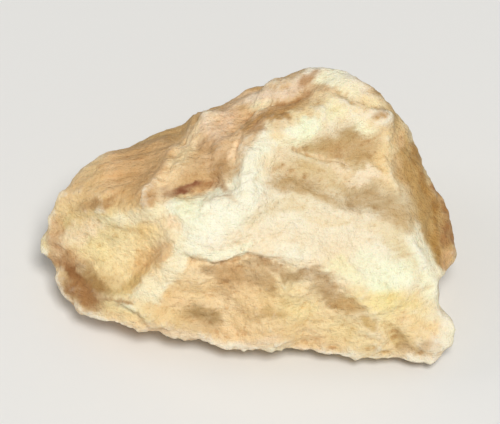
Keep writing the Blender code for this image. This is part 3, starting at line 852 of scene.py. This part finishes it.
def root_material():
    """Dry starchy root: the faces' ground colours, mottled, whitened where worn and browned in hollows."""
    material = bpy.data.materials.new("dried_orris_root")
    material.use_nodes = True
    nodes, links = material.node_tree.nodes, material.node_tree.links
    shader = nodes["Principled BSDF"]
    place = nodes.new("ShaderNodeTexCoord").outputs["Object"]

    def put(kind, values=None, **settings):
        """A node with its settings, and with a value or a link in each named input."""
        node = nodes.new(kind)
        for name, value in settings.items():
            setattr(node, name, value)
        for name, value in (values or {}).items():
            if isinstance(value, bpy.types.NodeSocket):
                links.new(value, node.inputs[name])
            else:
                node.inputs[name].default_value = value
        return node

    def read(name, output="Fac"):
        """A value or a colour kept at the mesh's points."""
        return put("ShaderNodeAttribute", attribute_name=name).outputs[output]

    def noise(size, detail=3.0, roughness=0.5, at=place):
        """Cloudy noise whose lumps are about that many millimetres across."""
        return put(
            "ShaderNodeTexNoise",
            {"Vector": at, "Scale": 1 / (size * MM), "Detail": detail, "Roughness": roughness},
        ).outputs["Fac"]

    def ranged(value, low, high, to_low=0.0, to_high=1.0):
        """A value taken by a smooth step from one range to another, and held inside it."""
        return put(
            "ShaderNodeMapRange",
            {"Value": value, "From Min": low, "From Max": high, "To Min": to_low, "To Max": to_high},
            interpolation_type="SMOOTHSTEP",
        ).outputs["Result"]

    def maths(operation, first, second):
        """Two values put together."""
        return put("ShaderNodeMath", {0: first, 1: second}, operation=operation).outputs[0]

    def mixed(share, first, second, blend="MIX"):
        """Two colours mixed."""
        node = put("ShaderNodeMix", data_type="RGBA", blend_type=blend, clamp_result=False)
        for name, value in (("Factor_Float", share), ("A_Color", first), ("B_Color", second)):
            socket = next(x for x in node.inputs if x.identifier == name)
            if isinstance(value, bpy.types.NodeSocket):
                links.new(value, socket)
            else:
                socket.default_value = value
        return next(x for x in node.outputs if x.identifier == "Result_Color")

    def shown(colour):
        """A screen colour as a socket takes it."""
        return (*linear(colour), 1)

    def tinted(colour, share, tint):
        """A colour multiplied by a tint, by a share from 0 to 1."""
        return mixed(share, colour, shown(tint), "MULTIPLY")

    # Clouds, patches, specks and powder of ever smaller size, and fibres ten times as long as wide.
    cloud = noise(size=1.7, detail=4, roughness=0.55)
    patch = noise(size=0.55, detail=3, roughness=0.6)
    speckle = noise(size=0.15, detail=3, roughness=0.65)
    powder = noise(size=0.05, detail=2, roughness=0.5)
    turn, lift = (math.radians(angle) for angle in GRAIN)
    stretched = put(
        "ShaderNodeMapping",
        {"Vector": place, "Rotation": (0, -lift, turn), "Scale": (1 / 10, 1, 1)},
    ).outputs[0]
    streak = noise(size=0.13, detail=3, roughness=0.6, at=stretched)

    # Mottling: each mask from and to, its most, and its tint. Chalky ground takes less mottling, and less
    # of the painted shade below.
    colour = read("ground", "Color")
    green = put("ShaderNodeSeparateColor", {"Color": colour}).outputs["Green"]
    mottle_and_shade_share = ranged(green, 0.66, 0.95, 1.0, 0.45)
    for mask, low, high, most, tint in (
        (cloud, 0.42, 0.70, 0.45, (240, 220, 180)),
        (patch, 0.48, 0.75, 0.45, (232, 220, 192)),
        (streak, 0.50, 0.75, 0.30, (230, 204, 162)),
        (speckle, 0.48, 0.74, 0.55, (218, 192, 150)),
    ):
        colour = tinted(colour, maths("MULTIPLY", mottle_and_shade_share, ranged(mask, low, high, 0, most)), tint)

    # Worn edges and the tips of the grain are chalky white.
    worn = maths("MULTIPLY", read("worn"), ranged(patch, 0.30, 0.65, 0.35, 1.1))
    worn = maths("ADD", worn, ranged(read("proud"), 0.004, 0.035, 0, 0.22))
    worn = maths("ADD", worn, ranged(speckle, 0.30, 0.70, -0.18, 0.12))
    colour = mixed(ranged(worn, 0.0, 1.1, 0, 0.75), colour, shown((253, 246, 226)))

    # Painted shade browns the bottom of the grain and the hollows, and the strands of fibre are brown.
    sunk = maths("ADD", ranged(read("proud"), -0.003, -0.035), ranged(read("hollow"), 0.03, 0.22, 0, 0.5))
    colour = tinted(colour, maths("MULTIPLY", mottle_and_shade_share, ranged(sunk, 0.1, 1.4, 0, 0.55)), (206, 168, 118))
    colour = tinted(colour, ranged(read("bundle"), 0.3, 1.0, 0, 0.35), (214, 176, 122))

    # Wide areas are a little cooler or warmer.
    area = noise(size=2.6, detail=2, roughness=0.5)
    colour = tinted(colour, ranged(area, 0.50, 0.72, 0, 0.6), (246, 252, 232))
    colour = tinted(colour, ranged(area, 0.50, 0.30, 0, 0.6), (255, 242, 226))
    links.new(colour, shader.inputs["Base Color"])

    # Worn starch is more matt, and powder, specks and fibres roughen it all.
    links.new(ranged(worn, 0.0, 1.0, 0.68, 0.95), shader.inputs["Roughness"])
    height = maths("ADD", maths("MULTIPLY", speckle, 0.6), maths("MULTIPLY", powder, 0.30))
    height = maths("ADD", height, maths("MULTIPLY", streak, 0.35))
    bump = put("ShaderNodeBump", {"Height": height, "Strength": 1.0, "Distance": 0.12 * MM})
    links.new(bump.outputs["Normal"], shader.inputs["Normal"])
    shader.inputs["Metallic"].default_value = 0
    shader.inputs["Specular IOR Level"].default_value = 0.35
    shader.inputs["Subsurface Weight"].default_value = 0.08
    shader.inputs["Subsurface Radius"].default_value = (1.0, 0.6, 0.35)
    shader.inputs["Subsurface Scale"].default_value = 0.3 * MM
    return material


mesh.materials.append(root_material())
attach(chip, "root")
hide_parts("orris_root_chip")


# The floor: a plain pale sheet of matt board, laid flat under the chip and wide enough to reach
# past the view.
FLOOR_HALF = 0.6

floor_mesh = bpy.data.meshes.new("pale_floor")
floor_corners = [(x * FLOOR_HALF, y * FLOOR_HALF, 0) for x, y in ((-1, -1), (1, -1), (1, 1), (-1, 1))]
floor_mesh.from_pydata(floor_corners, [], [(0, 1, 2, 3)])
pale_floor = bpy.data.objects.new("pale_floor", floor_mesh)
bpy.context.scene.collection.objects.link(pale_floor)
board = bpy.data.materials.new("pale_board")
board.use_nodes = True
board_shader = board.node_tree.nodes["Principled BSDF"]
board_shader.inputs["Base Color"].default_value = (0.80, 0.80, 0.79, 1)
board_shader.inputs["Roughness"].default_value = 0.9
floor_mesh.materials.append(board)


# The light: a lamp high on the viewer's side, a larger and weaker one from the left, low and a
# little behind, and a pale room all round. The camera doesn't see the lamps.
def lamp(name, turn, lift, away, size, power, colour):
    """A square lamp that faces the chip: the way to it, how far it is, its side and its watts."""
    light = bpy.data.lights.new(name, "AREA")
    light.size = size
    light.energy = power
    light.color = colour
    stand = bpy.data.objects.new(name, light)
    back = direction(turn, lift)
    stand.location = back * away + np.array([0, 0, MIDDLE[2] * MM])
    stand.rotation_mode = "QUATERNION"
    stand.rotation_quaternion = Vector(back).to_track_quat("Z", "Y")
    stand.visible_camera = False
    bpy.context.scene.collection.objects.link(stand)


lamp("key_lamp", turn=-78, lift=60, away=0.30, size=0.08, power=0.68, colour=(1.0, 0.975, 0.93))
lamp("side_lamp", turn=165, lift=32, away=0.40, size=0.20, power=0.19, colour=(1.0, 0.985, 0.96))

room = bpy.data.worlds.new("pale_room")
room.use_nodes = True
walls = room.node_tree.nodes["Background"]
walls.inputs["Color"].default_value = (0.95, 0.97, 1.0, 1)
walls.inputs["Strength"].default_value = 0.30
bpy.context.scene.world = room
bpy.context.scene.view_settings.view_transform = "Standard"


# The camera: it looks from the front and 50 degrees above level through a long lens, as the
# photograph does, at a point a little above the floor. The lens is in millimetres.
VIEW_TURN, VIEW_LIFT = -90, 50
LENS = 300
CAMERA_AWAY = 0.124
LOOK_HEIGHT = 0.0026
NEAREST_SEEN, FARTHEST_SEEN = 0.001, 2

camera = bpy.data.cameras.new("camera")
camera.lens = LENS
camera.clip_start, camera.clip_end = NEAREST_SEEN, FARTHEST_SEEN
eye = bpy.data.objects.new("camera", camera)
back = Vector(direction(VIEW_TURN, VIEW_LIFT))
eye.location = Vector((0.0, 0.0, LOOK_HEIGHT)) + back * CAMERA_AWAY
eye.rotation_mode = "QUATERNION"
eye.rotation_quaternion = back.to_track_quat("Z", "Y")
bpy.context.scene.collection.objects.link(eye)
bpy.context.scene.camera = eye
